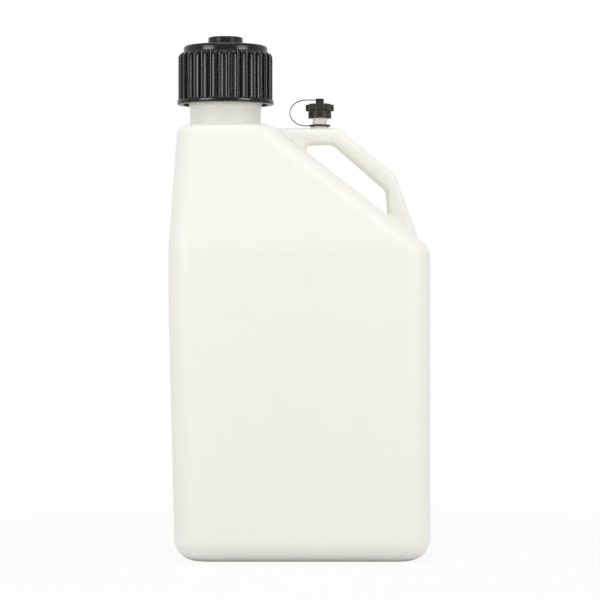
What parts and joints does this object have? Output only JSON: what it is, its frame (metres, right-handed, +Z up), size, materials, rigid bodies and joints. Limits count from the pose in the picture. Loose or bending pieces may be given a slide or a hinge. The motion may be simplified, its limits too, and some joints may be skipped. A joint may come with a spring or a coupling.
{
  "type": "utility jug",
  "caption": "Square blow-moulded plastic jug with a hollow handle, a large ribbed screw cap and a small tethered vent cap.",
  "frame": {"origin": "centre of the base, on the surface that the jug stands on", "axes": "+Z up, +X from the neck towards the handle's foot and the back wall, -Y towards the camera of the picture"},
  "size_m": [0.254, 0.246, 0.5184],
  "materials": {
    "natural_polyethylene": "blow-moulded natural polyethylene, satin, faintly translucent",
    "black_cap": "injection-moulded, glossy",
    "black_knob": "injection-moulded, satin",
    "black_strap": "soft moulded strap, satin",
    "seal_foam": "soft sealing foam"
  },
  "bodies": {
    "jug": {"jug_body": "natural_polyethylene", "vent_tether": "black_strap"},
    "cap_lift": {"cap_gasket": "seal_foam"},
    "cap": {"main_cap": "black_cap"},
    "vent_lift": {"vent_gasket": "seal_foam"},
    "vent_knob": {"vent_cap": "black_knob"}
  },
  "joints": [
    {"name": "cap_rise", "type": "slide", "parent": "jug", "child": "cap_lift", "axis": [0, 0, 1], "range_m": [0, 0.015]},
    {"name": "cap_unscrew", "type": "hinge", "parent": "cap_lift", "child": "cap", "pos_m": [-0.0745, 0, 0.45], "axis": [0, 0, 1], "range_deg": [0, 903]},
    {"name": "vent_rise", "type": "slide", "parent": "jug", "child": "vent_lift", "axis": [0, 0, 1], "range_m": [0, 0.0075], "deforming": ["vent_tether"]},
    {"name": "vent_unscrew", "type": "hinge", "parent": "vent_lift", "child": "vent_knob", "pos_m": [0.0206, 0, 0.44], "axis": [0, 0, 1], "range_deg": [0, 1084]}
  ],
  "couplings": [
    {"joint": "cap_unscrew", "follows": "cap_rise", "rad_per_m": 1047.2},
    {"joint": "vent_unscrew", "follows": "vent_rise", "rad_per_m": 2513.3}
  ]
}
